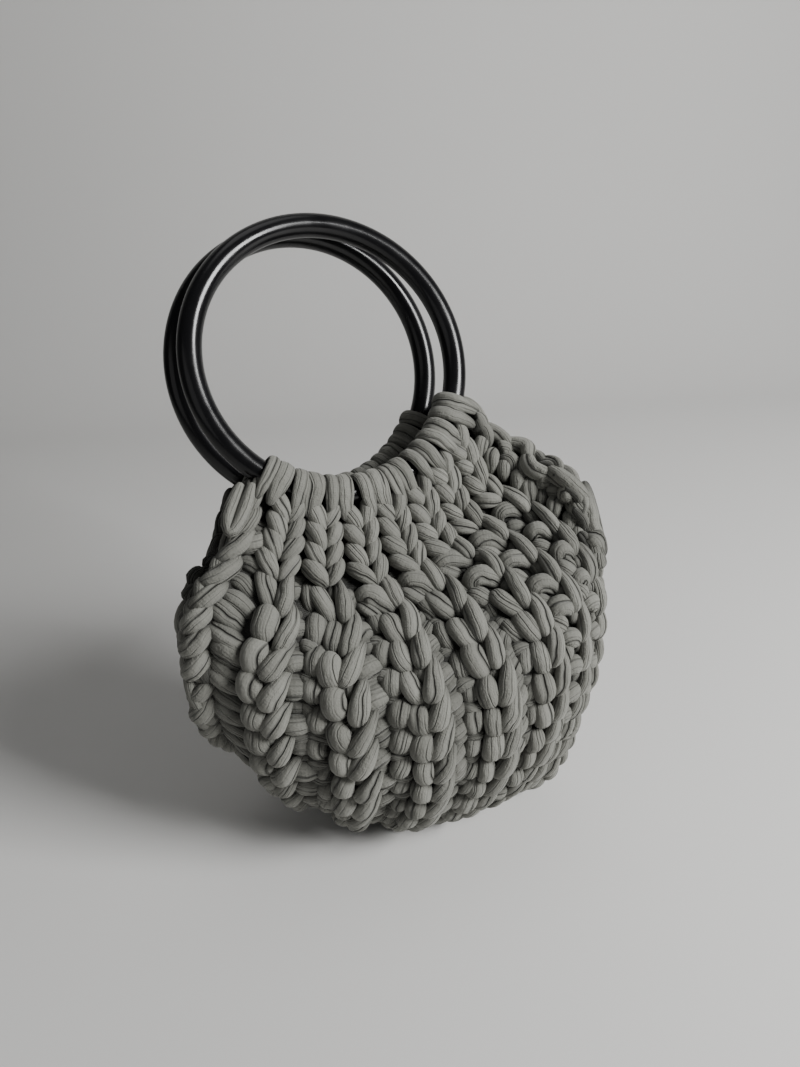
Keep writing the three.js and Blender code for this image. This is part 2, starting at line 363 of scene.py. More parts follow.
# One strand of a stitch: across in rib widths, along in stitches and height in millimetres at four control
# points, half width and half height, and thickness. On a narrow rib it is moved across, all along alike or at
# each control point, and sunk; it is there only where the rib has the given room. On the right seam it is
# there between two lengths, and on the left seam it is sunk, or not there if no sink is given
def strand(across, along, height, half, profile, move=0.0, sink=0.0, roomFrom=0.0, roomUntil=math.inf,
           runFrom=0.0, runUntil=math.inf, leftSink=None):
    return {
        "across": np.array(across), "along": np.array(along), "profile": np.array(profile), "half": half,
        "height": np.array(height) - half[1] + strandProud, "move": np.array(move), "sink": sink,
        "roomFrom": roomFrom, "roomUntil": roomUntil, "runFrom": runFrom, "runUntil": runUntil,
        "leftSink": leftSink,
    }


# Large stitches over the belly: a spear over a loop, or over an arched hood where the ribs run close together
bellyRidge = {
    "pitch": 16.8, "from": 47.0, "fromJitter": 1.5, "short": {"front": 10.0, "back": 3.0},
    "jitter": 0.55, "sizeJitter": 0.06,
    "strands": {
        "spear": strand((0.30, 0.22, 0.08, 0.01), (-0.62, -0.18, 0.52, 0.90), (-6.0, 1.0, 5.4, -1.6),
                        (5.5, 5.2), spear, move=0.11),
        "loop": strand((-0.10, -0.20, -0.19, -0.10), (-0.03, 0.10, 0.64, 0.93), (-4.4, 2.4, 2.6, -4.6),
                       (6.5, 5.2), loop, move=(-0.25, -0.11, -0.01, 0.08), sink=1.5, roomFrom=26.0),
        "hood": strand((-0.50, -0.40, -0.08, 0.02), (0.36, 0.10, 0.36, 0.92), (-5.0, 2.6, 3.2, -4.0),
                       (7.6, 6.0), loop, sink=0.4, roomUntil=26.0),
    },
}

# Lumps of yarn in the valleys beside a belly stitch; the first rib has none on its left, and the back's last
# rib none on its right
bellyLumps = {
    "jitter": 0.8, "sizeJitter": 0.10,
    "skipLeft": ("left", "leftFlat", "low", "small"), "skipBackRight": ("right", "rightFlat"),
    "strands": {
        "right": strand((0.17, 0.24, 0.37, 0.50), (0.46, 0.22, 0.00, 0.06), (-7.0, -1.0, -1.8, -9.0),
                        (6.0, 5.6), lump, move=0.06, sink=3.0, roomFrom=25.0),
        "rightFlat": strand((0.18, 0.27, 0.37, 0.49), (0.94, 0.74, 0.54, 0.56), (-8.6, -3.4, -4.0, -10.5),
                            (5.2, 5.0), lump, move=0.06, sink=3.0, roomFrom=25.0),
        "left": strand((-0.32, -0.42, -0.46, -0.39), (-0.24, 0.02, 0.40, 0.62), (-7.6, -1.4, -1.6, -7.6),
                       (5.8, 5.4), lump, move=-0.04, sink=0.8, roomFrom=26.0),
        "leftFlat": strand((-0.58, -0.50, -0.41, -0.31), (0.82, 0.74, 0.76, 0.88), (-10.0, -4.2, -3.8, -8.0),
                           (4.8, 4.8), lump, move=-0.02, sink=0.4, roomFrom=26.0),
        "low": strand((-0.54, -0.52, -0.44, -0.34), (0.44, 0.56, 0.84, 1.02), (-6.0, -0.2, -0.2, -6.0),
                      (6.2, 5.4), lump, roomUntil=26.0),
        "small": strand((-0.76, -0.72, -0.66, -0.58), (0.06, 0.16, 0.46, 0.60), (-8.0, -2.2, -2.2, -8.0),
                        (5.0, 4.8), lump, roomUntil=26.0),
        "fill": strand((0.10, 0.08, 0.04, 0.00), (-0.16, -0.04, 0.22, 0.42), (-8.0, -3.0, -3.0, -8.0),
                       (6.0, 5.4), lump, move=0.06, sink=-1.4),
    },
}

# Small V stitches between the ring and the belly stitches, the left leaf wider than the right one
neckLeaves = {
    "pitch": 10.0, "from": 8.0, "until": 44.0, "jitter": 0.3, "sizeJitter": 0.05, "sameSize": True,
    "strands": {
        "left": strand((-0.37, -0.34, -0.20, -0.01), (-0.26, 0.06, 0.50, 1.00), (-5.6, 1.6, 3.8, -1.4),
                       (4.9, 4.8), leaf),
        "right": strand((0.37, 0.35, 0.23, 0.06), (-0.50, -0.12, 0.44, 1.00), (-5.6, 1.2, 3.2, -1.4),
                        (4.5, 4.5), leaf),
    },
}
neckRungs = {
    "pitch": 10.0, "from": 10.0, "until": 46.0, "jitter": 0.4, "sizeJitter": 0.08, "sameSize": True,
    "strands": {
        "rung": strand((0.36, 0.46, 0.54, 0.64), (0.30, 0.22, 0.22, 0.30), (-10.0, -7.0, -7.0, -10.0),
                       (3.4, 3.3), lump),
    },
}

# Twisted chain down a panel's edge, slim on the back's right edge
edgeChain = {
    "pitch": 13.0, "from": 10.0, "short": 6.0, "slim": 0.45, "jitter": 0.5, "sizeJitter": 0.07,
    "strands": {
        "over": strand((0.17, 0.15, -0.06, -0.15), (-0.60, 0.0, 0.62, 1.10), (-4.2, 2.8, 3.0, -4.0),
                       (5.2, 5.1), leaf),
        "under": strand((-0.16, -0.14, 0.06, 0.14), (-0.20, 0.2, 0.72, 1.00), (-6.4, -0.8, -0.8, -6.4),
                        (4.8, 4.8), leaf),
    },
}

# Fat rungs from an edge chain to the next rib, lifted above the belly on the right
edgeRungs = {
    "pitch": 8.8, "from": 24.0, "short": 10.0, "jitter": 0.8, "sizeJitter": 0.10,
    "seamLift": 6.0, "seamLiftOver": 20.0, "backLift": 5.5, "backLiftUntil": 0.95,
    "strands": {
        "rung": strand((0.14, 0.30, 0.50, 0.74), (0.10, -0.10, 0.00, 0.20), (-8.6, -2.4, -2.4, -8.0),
                       (5.6, 5.2), lump),
    },
}

# How yarn fits a rib's room, thinner on narrow ribs and fuller on wide ones, and how stitches vary
stitchFit = {
    "roomAt": 0.4, "wideRoom": 34.0, "narrowOver": 17.0, "fullRoom": 36.0, "thinnest": 0.77, "fullest": 1.22,
    "bend": 0.07, "slant": 0.025, "slantShares": (1.0, 0.4, -0.4, -1.0),
    "shakeAcross": 0.03, "shakeHeight": 0.7,
}


# Joins groups of strands, each a row of arrays, into one
def gathered(parts):
    return [np.concatenate(group) for group in zip(*parts)]


# Centre lines with the half widths and half heights of their strand
def thickened(lines, one, size):
    line, normal, level = lines
    thickness = size[:, None] * one["profile"]
    return line, normal, one["half"][0] * thickness, one["half"][1] * thickness, level


# All strands of one kind of stitch on one rib, repeated at the given places along it
def stitchStrands(side, rib, stitch, places, pitch, rng, mirror=1, skip=(), lift=0.0):
    f = stitchFit
    parts = []
    lift = np.broadcast_to(lift, places.shape)
    t, lengths = ribLengths(side, rib / edgeRib)
    room = ribPitch(side, rib / edgeRib, np.interp(places + pitch * f["roomAt"], lengths, t))
    narrow = np.clip((f["wideRoom"] - room) / f["narrowOver"], 0, 1)
    share = np.clip((room / f["fullRoom"]) ** 0.5, f["thinnest"], f["fullest"])
    if "sameSize" in stitch:
        narrow, share = np.zeros_like(room), np.ones_like(room)
    for name, one in stitch["strands"].items():
        there = (room >= one["roomFrom"]) & (room < one["roomUntil"])
        count = int(there.sum())
        if name in skip or count == 0:
            continue
        shake = rng.normal(0, stitch["jitter"], (count, 3))
        bend = rng.normal(0, f["bend"], (count, 4))
        slant = rng.normal(0, f["slant"], (count, 1)) * np.array(f["slantShares"])
        size = share[there] * (1 + rng.normal(0, stitch["sizeJitter"], count))
        tight = narrow[there][:, None]
        across = mirror * (one["across"] + one["move"] * tight) + shake[:, :1] * f["shakeAcross"] + slant
        along = places[there][:, None] + pitch * (one["along"] + bend) + shake[:, 1:2]
        height = one["height"] + shake[:, 2:] * f["shakeHeight"] - one["sink"] * tight + lift[there][:, None]
        lines = wallLines(side, rib, across, along, height, len(one["profile"]))
        parts.append(thickened(lines, one, size))
    return gathered(parts)


# Strands on one rib: small stitches from the ring, then large ones and their lumps down to the base seam
def ribStrands(side, rib, rng):
    made = {}
    for label, stitch in (("neck_leaves", neckLeaves), ("neck_rungs", neckRungs)):
        places = np.arange(stitch["from"], stitch["until"], stitch["pitch"])
        made[label] = stitchStrands(side, rib, stitch, places, stitch["pitch"], rng)
    start = bellyRidge["from"] + rng.normal(0, bellyRidge["fromJitter"])
    room = ribLengths(side, rib / edgeRib)[1][-1] - bellyRidge["short"][side] - start
    count = int(round(room / bellyRidge["pitch"]))
    pitch = room / count
    places = start + pitch * np.arange(count)
    skip = ()
    if rib == 1 - edgeRib:
        skip = bellyLumps["skipLeft"]
    elif side == "back" and rib == edgeRib - 1:
        skip = bellyLumps["skipBackRight"]
    made["ridge_stitches"] = stitchStrands(side, rib, bellyRidge, places, pitch, rng)
    made["valley_lumps"] = stitchStrands(side, rib, bellyLumps, places, pitch, rng, skip=skip)
    return made


# Strands down one edge of a panel, left for end minus one and right for one: the chain, and rungs beside it
def edgeStrands(side, end, rng):
    t, lengths = ribLengths(side, end)
    chainAt = np.arange(edgeChain["from"], lengths[-1] - edgeChain["short"], edgeChain["pitch"])
    rungsAt = np.arange(edgeRungs["from"], lengths[-1] - edgeRungs["short"], edgeRungs["pitch"])
    chainWidth, lift = 1.0, 0.0
    if side == "front" and end > 0:
        # above the belly the seam's own rib takes the chain's place, with higher rungs beside it
        chainAt = chainAt[chainAt > seamRib["until"]]
        lift = edgeRungs["seamLift"] * np.clip((seamRib["until"] - rungsAt) / edgeRungs["seamLiftOver"], 0, 1)
    elif end > 0:
        # the back's rib there is wide, and above the belly its rungs lie further out
        chainWidth = edgeChain["slim"]
        low = np.interp(rungsAt, lengths, t) > edgeRungs["backLiftUntil"]
        lift = np.where(low, 0.0, edgeRungs["backLift"])
    rib = end * edgeRib
    chain = stitchStrands(side, rib, edgeChain, chainAt, edgeChain["pitch"], rng, -end * chainWidth)
    rungs = stitchStrands(side, rib, edgeRungs, rungsAt, edgeRungs["pitch"], rng, -end, lift=lift)
    return {"edge_chains": chain, "side_rungs": rungs}


# Rib on a side seam, from the ring's end to the belly: long shingled strands with loops beside them; places
# across count from the rib's own path, which on the right crosses from the front edge to the back edge
seamRib = {
    "pitch": 20.0, "from": 8.0, "until": 112.0, "jitter": 0.4, "sizeJitter": 0.05,
    "shakeAcross": 0.06, "shakeHeight": 0.7, "bulgeRun": (36.0, 66.0), "bulge": (2.0, 9.0),
    "lineReach": 1.2, "pointReach": 0.85, "openGap": 14.0, "pathLeft": 0.1,
    "pathRun": (10.0, 45.0, 60.0, 77.0, 95.0, 112.0), "pathRight": (-0.80, -0.62, -0.40, 0.15, 0.62, 0.85),
    "strands": (
        strand((0.10, 0.06, -0.02, -0.04), (-0.22, 0.10, 0.72, 1.10), (-5.0, 2.6, 4.4, -3.0),
               (5.0, 4.8), leaf, leftSink=5.0),  # long shingle
        strand((-0.76, -0.66, -0.38, -0.26), (0.40, 0.12, 0.36, 0.88), (-6.0, 1.6, 2.0, -5.0),
               (6.4, 5.2), loop),  # arched hood
        strand((-0.84, -0.80, -0.70, -0.60), (0.46, 0.56, 0.82, 0.98), (-7.0, -0.4, -0.4, -7.0),
               (5.2, 4.8), loop),  # lump below the hood
        strand((-1.05, -1.00, -0.92, -0.84), (0.30, 0.34, 0.62, 0.74), (-7.0, -1.0, -1.0, -6.0),
               (5.4, 4.9), loop, runFrom=76.0),  # lumps towards the front, near the belly
        strand((-1.10, -1.04, -0.96, -0.90), (-0.16, -0.10, 0.12, 0.22), (-8.0, -2.6, -2.6, -8.0),
               (4.8, 4.5), loop, runFrom=76.0),
        strand((0.50, 0.66, 0.80, 0.92), (0.30, 0.04, -0.06, 0.12), (-9.0, -6.0, -6.0, -9.0),
               (5.6, 5.0), loop, runUntil=60.0, leftSink=4.0),  # loops towards the back, near the ring
        strand((0.50, 0.66, 0.80, 0.92), (0.80, 0.54, 0.44, 0.62), (-9.0, -6.0, -6.0, -9.0),
               (5.6, 5.0), loop, runUntil=60.0, leftSink=4.0),
    ),
}


# Side seam between the panels' edges: straight lines from the front edge to the back edge at the same t, with
# c from minus one at the front to one at the back; outward is square to those lines, or between the walls'
# own directions where the edges meet, and the right seam bulges in its middle
def seamLines(end, across, along, height, rings):
    weights = cubicWeights(rings)
    c = np.clip(across @ weights, -seamRib["lineReach"], seamRib["lineReach"])[..., None]
    run = along @ weights
    level = height @ weights
    t, lengths = ribLengths("front", end)
    place = np.interp(run, lengths, t)
    later = np.clip(place + nearby, 0, 2)
    ends = np.full_like(place, end)
    front = wallPoint("front", ends, place)
    back = wallPoint("back", ends, place)
    gap = back - front
    ahead = wallPoint("front", ends, later) - front + wallPoint("back", ends, later) - back
    square = unit(end * np.cross(ahead, gap))
    mixed = unit(wallNormal("front", ends, place) + wallNormal("back", ends, place))
    share = np.clip(np.linalg.norm(gap, axis=-1, keepdims=True) / seamRib["openGap"], 0, 1)
    normal = unit(square * share + mixed * (1 - share))
    rise = (level + ridgeTop(place))[..., None]
    if end > 0:
        bulge = np.interp(run, seamRib["bulgeRun"], seamRib["bulge"])[..., None]
        rise = rise + bulge * share * np.clip(1 - c * c, 0, 1)
    return front * (1 - c) / 2 + back * (1 + c) / 2 + rise * normal, normal, level


# Strands of the rib on one side seam, left for end minus one and right for one
def seamStrands(end, rng):
    parts = []
    for one in seamRib["strands"]:
        places = np.arange(seamRib["from"], seamRib["until"], seamRib["pitch"])
        path, sink = seamRib["pathLeft"], one["leftSink"]
        if end > 0:
            places = places[(places >= one["runFrom"]) & (places <= one["runUntil"])]
            sink = 0.0
        elif sink is None:
            continue
        shake = rng.normal(0, seamRib["jitter"], (len(places), 3))
        size = 1 + rng.normal(0, seamRib["sizeJitter"], len(places))
        along = places[:, None] + seamRib["pitch"] * one["along"] + shake[:, 1:2]
        if end > 0:
            path = np.interp(along, seamRib["pathRun"], seamRib["pathRight"])
        across = path + one["across"] + shake[:, :1] * seamRib["shakeAcross"]
        across = np.minimum(across, seamRib["pointReach"])
        height = one["height"] + shake[:, 2:] * seamRib["shakeHeight"] - sink
        lines = seamLines(end, across, along, height, len(one["profile"]))
        parts.append(thickened(lines, one, size))
    return gathered(parts)


# Wraps of yarn over each ring: two bands at each rib, each a flat strand that climbs the front of the bar,
# goes over its inner side and comes down behind, bowed out and thinner towards its sunk ends. A band has its
# place along the ring in millimetres from the rib, its half width and its slant
ringWrap = {
    "bands": ((-4.2, 5.3, 0.4), (4.6, 4.2, -0.5)), "firstBand": 1, "lastBand": {"front": 16, "back": 15},
    "thickness": 2.3, "clear": 0.2, "fromDeg": -25.0, "untilDeg": 205.0, "turnRings": 13,
    "reach": 13.5, "spread": 6.8, "bow": 1.2, "bowAt": 0.66, "taper": (0.5, 0.78, 0.94), "sunkShade": (-7.0, -4.0),
    "placeJitter": 0.35, "slantJitter": 0.9, "sizeJitter": 0.07,
}


def wrapStrands(side, rng):
    w = ringWrap
    middle, _, _, facing = ringAxes(side)
    turn = np.linspace(math.radians(w["fromDeg"]), math.radians(w["untilDeg"]), w["turnRings"])
    gap = ringSize["bar"] + w["thickness"] + w["clear"]
    tail = np.array([w["reach"], w["reach"] * w["bowAt"]])
    flank = np.array([w["spread"], w["spread"] + w["bow"]])
    inward = np.concatenate([-tail, gap * np.sin(turn), -tail[::-1]])
    forward = np.concatenate([flank, gap * np.cos(turn), -flank[::-1]])
    slide = np.linspace(-1, 1, len(inward))
    taper = np.ones(len(inward))
    taper[:3] = w["taper"]
    taper[-3:] = w["taper"][::-1]
    # Shade levels only: the band's top lies level with the ridge tops and its sunk ends lower, so the yarn's
    # colour is painted darker, as shade, where the band goes under the wall
    level = np.full(len(inward), -w["thickness"])
    level[:2] = w["sunkShade"]
    level[-2:] = w["sunkShade"][::-1]
    bands = [(rib, *band) for rib in range(-edgeRib, edgeRib + 1) for band in w["bands"]]
    parts = []
    for rib, place, halfWidth, slant in bands[w["firstBand"]:w["lastBand"][side] + 1]:
        arc = place + rng.normal(0, w["placeJitter"]) + (slant + rng.normal(0, w["slantJitter"])) * slide
        angle = np.radians(bagShape["loopCentreDeg"] + bagShape["loopHalfDeg"] * rib / edgeRib)
        out = spoke(side, angle + arc / ringSize["radius"])
        centre = middle + ringSize["radius"] * out
        line = centre - inward[:, None] * out + forward[:, None] * facing
        wide = halfWidth * (1 + rng.normal(0, w["sizeJitter"])) * taper
        thick = w["thickness"] * (1 + rng.normal(0, w["sizeJitter"])) * taper
        parts.append((line, unit(line - centre), wide, thick, level))
    return [np.stack(group) for group in zip(*parts)]


# Slack loop at the left end of the front wraps, hanging beside the first rib: places left, down and outward
# from the rib's start in millimetres; below it a fat strand, placed along in millimetres, crosses to the next
# rib
slackLoop = {
    "left": (0.5, 1.0, 2.0, 4.5, 7.5, 7.5, 5.5), "down": (9.0, 20.0, 30.0, 36.0, 32.0, 22.0, 10.0),
    "out": (5.0, 5.5, 5.5, 5.0, 4.0, 3.5, 2.5), "half": 3.8, "endShare": 0.8, "hangsAlong": 0.3,
    "fat": strand((0.0, 0.2, 0.4, 0.62), (38.0, 36.0, 31.0, 27.0), (-8.0, 1.0, 1.5, -7.0), (5.4, 5.4), loop),
}


def slackStrands():
    first, later = wallPoint("front", -1.0, np.array([0.0, slackLoop["hangsAlong"]]))
    down = unit(later - first)
    out = wallNormal("front", -1.0, slackLoop["hangsAlong"] / 2)
    left = unit(np.cross(out, down))
    left = -np.sign(left[0]) * left
    leftward, downward, outward = [np.array(slackLoop[key])[:, None] for key in ("left", "down", "out")]
    line = first + leftward * left + downward * down + outward * out
    half = np.full(len(line), slackLoop["half"])
    half[[0, -1]] *= slackLoop["endShare"]
    loose = [line[None], np.broadcast_to(out, line.shape)[None], half[None], half[None], -half[None]]
    fat = slackLoop["fat"]
    across, along, height = [fat[key][None] for key in ("across", "along", "height")]
    fatLines = wallLines("front", -edgeRib, across, along, height, len(fat["profile"]))
    return gathered([loose, thickened(fatLines, fat, np.ones(1))])


# Wall under the stitches: two skins of the same grid, joined round the border and thin there
coreShape = {
    "columns": 65, "rows": 49, "endS": 0.996, "fromT": 0.035, "untilT": 1.99, "outside": 1.0,
    "edgeLeast": 0.12, "edgeRound": 0.0625, "innerRound": 0.2, "footRound": 0.1,
    "uvAcross": 36.0, "uvAlong": 15.0, "tone": 0.3,
}

# The back's wall is thin at both edges above the belly, and thinnest at the lower left, where it doubles over
backThin = {
    "edgeOver": 0.7, "untilT": 1.05, "overT": 0.3, "overS": 0.3,
    "doubledS": -0.55, "doubledOverS": 0.15, "doubledT": 1.3, "doubledOverT": 0.12,
}


def corePiece(side, material):
    c = coreShape
    columns, rows = c["columns"], c["rows"]
    s = np.linspace(-c["endS"], c["endS"], columns)[:, None]
    t = np.linspace(c["fromT"], c["untilT"], rows)[None]
    fromEdge = 1 - np.abs(s)
    foot = quarterRound((2 - t) / c["footRound"])
    outerShare = quarterRound(fromEdge / c["edgeRound"]) * foot
    innerShare = np.clip(fromEdge / c["innerRound"], 0, 1) * foot
    if side == "back":
        b = backThin
        thin = np.clip((b["untilT"] - t) / b["overT"], 0, 1) * np.clip(np.abs(s) / b["overS"], 0, 1)
        edgeShare = np.clip(fromEdge / b["edgeOver"], 0, 1)
        doubled = np.clip((b["doubledS"] - s) / b["doubledOverS"], 0, 1)
        doubled = doubled * np.clip((t - b["doubledT"]) / b["doubledOverT"], 0, 1)
        outerShare = (outerShare * (1 - thin) + edgeShare * thin) * (1 - doubled)
        innerShare = (innerShare * (1 - thin) + edgeShare * thin) * (1 - doubled)
    least = c["edgeLeast"]
    outside = (least + (1 - least) * outerShare) * (c["outside"] - wallSink(t))
    inside = (least + (1 - least) * innerShare) * (bagShape["wallInside"] + wallSink(t))
    point = wallPoint(side, s, t)
    normal = wallNormal(side, *np.broadcast_arrays(s, t))
    outer = point + outside[..., None] * normal
    inner = point - inside[..., None] * normal
    points = np.concatenate([outer.reshape(-1, 3), inner.reshape(-1, 3)])
    i, j = np.meshgrid(np.arange(columns - 1), np.arange(rows - 1), indexing="ij")
    index = i * rows + j
    skin = np.stack([index, index + rows, index + rows + 1, index + 1], -1).reshape(-1, 4)
    inset = columns * rows
    border = np.concatenate([
        np.arange(columns) * rows,
        (columns - 1) * rows + np.arange(1, rows),
        np.arange(columns - 2, -1, -1) * rows + rows - 1,
        np.arange(rows - 2, 0, -1),
    ])
    nextBorder = np.roll(border, -1)
    rim = np.stack([border, border + inset, nextBorder + inset, nextBorder], -1)
    quads = np.concatenate([skin, (skin + inset)[:, ::-1], rim])
    if sideShape[side]["facing"] < 0:
        quads = quads[:, ::-1]
    uv = np.stack(np.broadcast_arrays(s * c["uvAcross"], t * c["uvAlong"]), -1).reshape(-1, 2)
    cornerUv = np.concatenate([uv, uv])[quads.ravel()]
    tones = {"strandTone": np.full(len(points), c["tone"]), "shadeLevel": np.zeros(len(points))}
    return meshPiece(f"{side}_wall_core", points, quads.tolist(), cornerUv, tones, material)


# Ring: a circle of the bar's radius carried round the ring's circle
def ringPiece(side, material):
    middle, _, _, facing = ringAxes(side)
    steps, sides = ringSize["steps"], ringSize["sides"]
    a = (np.arange(steps) / steps * 2 * np.pi)[:, None]
    b = (np.arange(sides) / sides * 2 * np.pi)[None]
    out = spoke(side, np.broadcast_to(a, (steps, sides)))
    bar = ringSize["bar"] * (np.cos(b)[..., None] * out + np.sin(b)[..., None] * facing)
    points = middle + ringSize["radius"] * out + bar
    i, j = np.meshgrid(np.arange(steps), np.arange(sides), indexing="ij")
    k, m = (i + 1) % steps, (j + 1) % sides
    quads = np.stack([i * sides + j, i * sides + m, k * sides + m, k * sides + j], -1).reshape(-1, 4)
    u0, u1 = i / steps * ringSize["uvLength"], (i + 1) / steps * ringSize["uvLength"]
    v0, v1 = j / sides, (j + 1) / sides
    cornerUv = cornerStack((u0, v0), (u0, v1), (u1, v1), (u1, v0))
    piece = meshPiece(f"ring_{side}", points, quads.tolist(), cornerUv, {}, material)
    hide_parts(f"handle_ring_{side}")


# Adds a node with its fixed values, given by socket name
def addNode(tree, kind, values=None, **settings):
    node = tree.nodes.new(kind)
    for key, value in settings.items():
        setattr(node, key, value)
    for key, value in (values or {}).items():
        node.inputs[key].default_value = value
    return node


# Adds a Math node whose inputs are numbers or other nodes' outputs, and gives its output
def mathNode(tree, operation, *values):
    node = addNode(tree, "ShaderNodeMath", operation=operation)
    for socket, value in zip(node.inputs, values):
        if isinstance(value, (int, float)):
            socket.default_value = value
        else:
            tree.links.new(value, socket)
    return node.outputs[0]


# Adds a Map Range node on a value, soft at both ends of its range, and gives its output
def softRange(tree, value, start, stop, first=0.0, last=1.0):
    limits = {"From Min": start, "From Max": stop, "To Min": first, "To Max": last}
    node = addNode(tree, "ShaderNodeMapRange", limits, interpolation_type="SMOOTHSTEP")
    tree.links.new(value, node.inputs["Value"])
    return node.outputs[0]


# Material with nodes, and the fixed values of its shader given by socket name
def newMaterial(name, values):
    material = bpy.data.materials.new(name)
    material.use_nodes = True
    shader = material.node_tree.nodes["Principled BSDF"]
    for key, value in values.items():
        shader.inputs[key].default_value = value
    return material, material.node_tree, shader


# Folds, knit and fuzz of a jersey strip; a crease's half width is a share of a fold
jerseyStrip = {
    "wanderAlong": 0.55, "wander": 0.9, "wanderByTone": 53.0, "turnByTone": 11.0, "creaseHalf": 0.075,
    "fadeShift": (7.3, 2.1, 4.4), "fadeScale": 0.8, "fadeFrom": 0.38, "fadeUntil": 0.58, "fadedShare": 0.25,
    "fineFolds": 8.0, "fineWander": 2.2, "fineTurnByTone": 17.0, "fineHalf": 0.13,
    "fineShare": 0.34, "fineBesideBold": -0.22,
    "wales": 26, "courses": 9, "courseBend": 0.9, "knitHeight": 0.018,
    "fuzzAlong": 3.0, "fuzzAround": 9.0, "fuzzByTone": 31.0, "fuzzScale": 1.6, "fuzzHeight": 0.5,
}


# Lengthwise creases that wander and fade, faint finer ones between them, and rows of knit, the creases dented
# in the bump and darkened with painted shade: a crease lies where the way round the strip times its number of
# folds, plus the wander and a turn by tone, comes out whole
def jerseyGroup():
    j = jerseyStrip
    tree = bpy.data.node_groups.new("jerseyStrip", "ShaderNodeTree")
    for name in ("Along", "Around", "Tone", "Folds"):
        tree.interface.new_socket(name, in_out="INPUT", socket_type="NodeSocketFloat")
    for name in ("CreaseShade", "Height", "Mottle"):
        tree.interface.new_socket(name, in_out="OUTPUT", socket_type="NodeSocketFloat")
    link = tree.links.new
    maths = partial(mathNode, tree)
    source = addNode(tree, "NodeGroupInput")
    sink = addNode(tree, "NodeGroupOutput")
    along, around, tone, folds = [source.outputs[name] for name in ("Along", "Around", "Tone", "Folds")]

    place = addNode(tree, "ShaderNodeCombineXYZ")
    link(maths("MULTIPLY", along, j["wanderAlong"]), place.inputs[0])
    link(maths("MULTIPLY", tone, j["wanderByTone"]), place.inputs[1])
    wander = addNode(tree, "ShaderNodeTexNoise", {"Scale": 1.0, "Detail": 2.0, "Roughness": 0.5})
    link(place.outputs[0], wander.inputs["Vector"])
    drift = maths("MULTIPLY", maths("SUBTRACT", wander.outputs["Fac"], 0.5), j["wander"])
    turned = maths("MULTIPLY", tone, j["turnByTone"])
    distance = maths("PINGPONG", maths("ADD", maths("MULTIPLY_ADD", around, folds, drift), turned), 0.5)
    creaseShade = softRange(tree, distance, 0.0, j["creaseHalf"], 1.0, 0.0)
    dip = maths("SUBTRACT", 1.0, maths("MULTIPLY", distance, 2.0))
    roll = maths("MULTIPLY", dip, dip)

    shifted = addNode(tree, "ShaderNodeVectorMath", operation="ADD")
    shifted.inputs[1].default_value = j["fadeShift"]
    link(place.outputs[0], shifted.inputs[0])
    fading = addNode(tree, "ShaderNodeTexNoise", {"Scale": j["fadeScale"], "Detail": 1.0})
    link(shifted.outputs[0], fading.inputs["Vector"])
    fade = softRange(tree, fading.outputs["Fac"], j["fadeFrom"], j["fadeUntil"])
    weight = maths("MULTIPLY_ADD", fade, 1 - j["fadedShare"], j["fadedShare"])
    bold = maths("MULTIPLY", creaseShade, weight)

    fineDrift = maths("MULTIPLY", drift, j["fineWander"])
    fineTurned = maths("MULTIPLY", tone, j["fineTurnByTone"])
    finePhase = maths("ADD", maths("MULTIPLY_ADD", around, j["fineFolds"], fineDrift), fineTurned)
    fine = softRange(tree, maths("PINGPONG", finePhase, 0.5), 0.0, j["fineHalf"], 1.0, 0.0)
    faint = maths("MULTIPLY", fine, maths("MULTIPLY_ADD", fade, j["fineBesideBold"], j["fineShare"]))
    creasesForShadeAndDent = maths("MAXIMUM", bold, faint)

    wale = maths("SINE", maths("MULTIPLY", around, 2 * math.pi * j["wales"]))
    rows = maths("MULTIPLY", along, 2 * math.pi * j["courses"])
    course = maths("SINE", maths("MULTIPLY_ADD", wale, j["courseBend"], rows))
    knit = maths("MULTIPLY", maths("ADD", wale, course), j["knitHeight"])

    fuzzPlace = addNode(tree, "ShaderNodeCombineXYZ")
    link(maths("MULTIPLY", along, j["fuzzAlong"]), fuzzPlace.inputs[0])
    link(maths("MULTIPLY", around, j["fuzzAround"]), fuzzPlace.inputs[1])
    link(maths("MULTIPLY", tone, j["fuzzByTone"]), fuzzPlace.inputs[2])
    fuzz = addNode(tree, "ShaderNodeTexNoise", {"Scale": j["fuzzScale"], "Detail": 4.0, "Roughness": 0.6})
    link(fuzzPlace.outputs[0], fuzz.inputs["Vector"])
    ripple = maths("MULTIPLY", maths("SUBTRACT", fuzz.outputs["Fac"], 0.5), j["fuzzHeight"])
    dent = maths("ADD", maths("MULTIPLY", roll, weight), creasesForShadeAndDent)
    link(creasesForShadeAndDent, sink.inputs["CreaseShade"])
    link(maths("ADD", maths("SUBTRACT", ripple, dent), knit), sink.inputs["Height"])
    link(fuzz.outputs["Fac"], sink.inputs["Mottle"])
    return tree


# The crease colour is painted shade in the creases, and the colour is darkened as painted shade for yarn
# lying deep under the ridge tops, down to the given share
yarnLook = {
    "light": (0.214, 0.214, 0.191), "dark": (0.130, 0.130, 0.115), "creaseShade": (0.022, 0.022, 0.019),
    "toneShare": 0.55, "mottleShare": 0.45, "creaseShadeStrength": 0.72, "folds": 3.0, "bump": 0.0016,
    "fullShadeAt": -10.0, "noShadeAt": 0.5, "fullShadeShare": 0.25,
    "shader": {"Roughness": 0.92, "Specular IOR Level": 0.18, "Sheen Weight": 0.22, "Sheen Roughness": 0.55,
               "Sheen Tint": (0.75, 0.75, 0.70, 1.0)},
}
# Near-black copy of the yarn for the wall under the stitches: painted shade that shows in the gaps between
# strands
shadeWallLook = dict(yarnLook, light=(0.032, 0.032, 0.029), dark=(0.02, 0.02, 0.018), folds=0.5)
